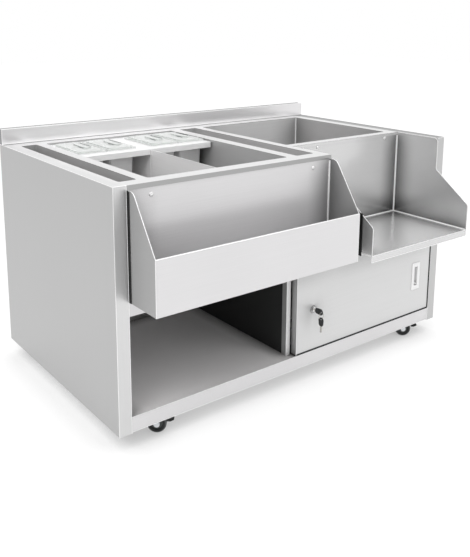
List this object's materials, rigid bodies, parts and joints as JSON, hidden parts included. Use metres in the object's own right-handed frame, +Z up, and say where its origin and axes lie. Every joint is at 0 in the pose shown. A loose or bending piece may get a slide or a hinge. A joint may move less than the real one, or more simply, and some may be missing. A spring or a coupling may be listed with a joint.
{
  "type": "bar_station",
  "caption": "Stainless bar cabinet on casters with ice bin, lidded garnish pans, sink, speed rail, bottle shelf, open compartment and a locked sliding door",
  "frame": {"origin": "centre of the overall footprint, on the floor under the wheels", "axes": "+X to the sink end, +Y from the working side to the back, +Z up"},
  "size_m": [1.2, 0.828, 0.708],
  "materials": {
    "stainless": "fine brushed sheet",
    "pan_steel": "satin pressed sheet",
    "bright_steel": "bright turned metal",
    "zinc_steel": "zinc plated pressing",
    "key_black": "moulded black bow",
    "nylon": "natural nylon",
    "insulation": "rigid foam",
    "clear_lid": "clear moulded lid",
    "wheel_rubber": "dark grey tread"
  },
  "bodies": {
    "cabinet": {"left_panel": "stainless", "right_panel": "stainless", "left_liner": "stainless", "right_liner": "stainless", "base_tray": "stainless", "rear_panel": "stainless", "upstand": "stainless", "worktop": "stainless", "front_apron": "stainless", "recess_side": "stainless", "recess_back": "stainless", "recess_floor": "stainless", "compartment_back": "stainless", "bin_liner": "stainless", "bin_shell": "stainless", "left_well": "stainless", "right_well": "stainless", "sink_bowl": "stainless", "sink_drain": "stainless", "bin_drain": "stainless", "pan_frame": "stainless", "speed_rail": "stainless", "shelf": "stainless", "divider_guides": "stainless", "partition": "stainless", "door_track": "stainless", "tray_screws": "bright_steel", "caster_plates": "zinc_steel", "caster_studs": "zinc_steel", "door_guides": "nylon", "bin_foam": "insulation"},
    "door": {"door_skin": "stainless", "door_liner": "stainless", "door_pull": "bright_steel", "lock_body": "bright_steel", "door_glides": "nylon"},
    "lock": {"lock_plug": "bright_steel", "lock_cam": "zinc_steel", "key": "key_black"},
    "spare_keys": {"key_ring": "bright_steel", "spare_key": "key_black"},
    "ice_plate": {"ice_divider": "stainless"},
    "fork_1": {"caster_fork_1": "zinc_steel"},
    "wheel_1": {"caster_wheel_1": "wheel_rubber"},
    "pan_body_1": {"pan_1": "pan_steel"},
    "lid_body_1": {"lid_1": "clear_lid"},
    "fork_2": {"caster_fork_2": "zinc_steel"},
    "wheel_2": {"caster_wheel_2": "wheel_rubber"},
    "pan_body_2": {"pan_2": "pan_steel"},
    "lid_body_2": {"lid_2": "clear_lid"},
    "fork_3": {"caster_fork_3": "zinc_steel"},
    "wheel_3": {"caster_wheel_3": "wheel_rubber"},
    "pan_body_3": {"pan_3": "pan_steel"},
    "lid_body_3": {"lid_3": "clear_lid"},
    "fork_4": {"caster_fork_4": "zinc_steel"},
    "wheel_4": {"caster_wheel_4": "wheel_rubber"},
    "pan_body_4": {"pan_4": "pan_steel"},
    "lid_body_4": {"lid_4": "clear_lid"}
  },
  "joints": [
    {"name": "door_slide", "type": "slide", "parent": "cabinet", "child": "door", "axis": [-1, 0, 0], "range_m": [0, 0.53]},
    {"name": "lock_turn", "type": "hinge", "parent": "door", "child": "lock", "pos_m": [0.035, -0.286, 0.214], "axis": [0, 1, 0], "range_deg": [0, 90]},
    {"name": "ring_swing", "type": "hinge", "parent": "lock", "child": "spare_keys", "pos_m": [0.035, -0.3186, 0.214], "axis": [1, 0, 0], "range_deg": [-60, 20]},
    {"name": "ice_plate_lift", "type": "slide", "parent": "cabinet", "child": "ice_plate", "axis": [0, 0, 1], "range_m": [0, 0.28]},
    {"name": "caster_swivel_1", "type": "hinge", "parent": "cabinet", "child": "fork_1", "pos_m": [-0.488, -0.2435, 0.0735], "axis": [0, 0, 1], "continuous": true},
    {"name": "caster_roll_1", "type": "hinge", "parent": "fork_1", "child": "wheel_1", "pos_m": [-0.47539, -0.25335, 0.025], "axis": [0.6157, 0.788, 0], "continuous": true},
    {"name": "caster_swivel_2", "type": "hinge", "parent": "cabinet", "child": "fork_2", "pos_m": [0.47, -0.2435, 0.0735], "axis": [0, 0, 1], "continuous": true},
    {"name": "caster_roll_2", "type": "hinge", "parent": "fork_2", "child": "wheel_2", "pos_m": [0.48261, -0.25335, 0.025], "axis": [0.6157, 0.788, 0], "continuous": true},
    {"name": "caster_swivel_3", "type": "hinge", "parent": "cabinet", "child": "fork_3", "pos_m": [-0.488, 0.354, 0.0735], "axis": [0, 0, 1], "continuous": true},
    {"name": "caster_roll_3", "type": "hinge", "parent": "fork_3", "child": "wheel_3", "pos_m": [-0.47539, 0.34415, 0.025], "axis": [0.6157, 0.788, 0], "continuous": true},
    {"name": "caster_swivel_4", "type": "hinge", "parent": "cabinet", "child": "fork_4", "pos_m": [0.47, 0.354, 0.0735], "axis": [0, 0, 1], "continuous": true},
    {"name": "caster_roll_4", "type": "hinge", "parent": "fork_4", "child": "wheel_4", "pos_m": [0.48261, 0.34415, 0.025], "axis": [0.6157, 0.788, 0], "continuous": true},
    {"name": "pan_lift_1", "type": "slide", "parent": "cabinet", "child": "pan_body_1", "axis": [0, 0, 1], "range_m": [0, 0.16]},
    {"name": "lid_lift_1", "type": "slide", "parent": "pan_body_1", "child": "lid_body_1", "axis": [0, 0, 1], "range_m": [0, 0.1]},
    {"name": "pan_lift_2", "type": "slide", "parent": "cabinet", "child": "pan_body_2", "axis": [0, 0, 1], "range_m": [0, 0.16]},
    {"name": "lid_lift_2", "type": "slide", "parent": "pan_body_2", "child": "lid_body_2", "axis": [0, 0, 1], "range_m": [0, 0.1]},
    {"name": "pan_lift_3", "type": "slide", "parent": "cabinet", "child": "pan_body_3", "axis": [0, 0, 1], "range_m": [0, 0.16]},
    {"name": "lid_lift_3", "type": "slide", "parent": "pan_body_3", "child": "lid_body_3", "axis": [0, 0, 1], "range_m": [0, 0.1]},
    {"name": "pan_lift_4", "type": "slide", "parent": "cabinet", "child": "pan_body_4", "axis": [0, 0, 1], "range_m": [0, 0.16]},
    {"name": "lid_lift_4", "type": "slide", "parent": "pan_body_4", "child": "lid_body_4", "axis": [0, 0, 1], "range_m": [0, 0.1]}
  ]
}
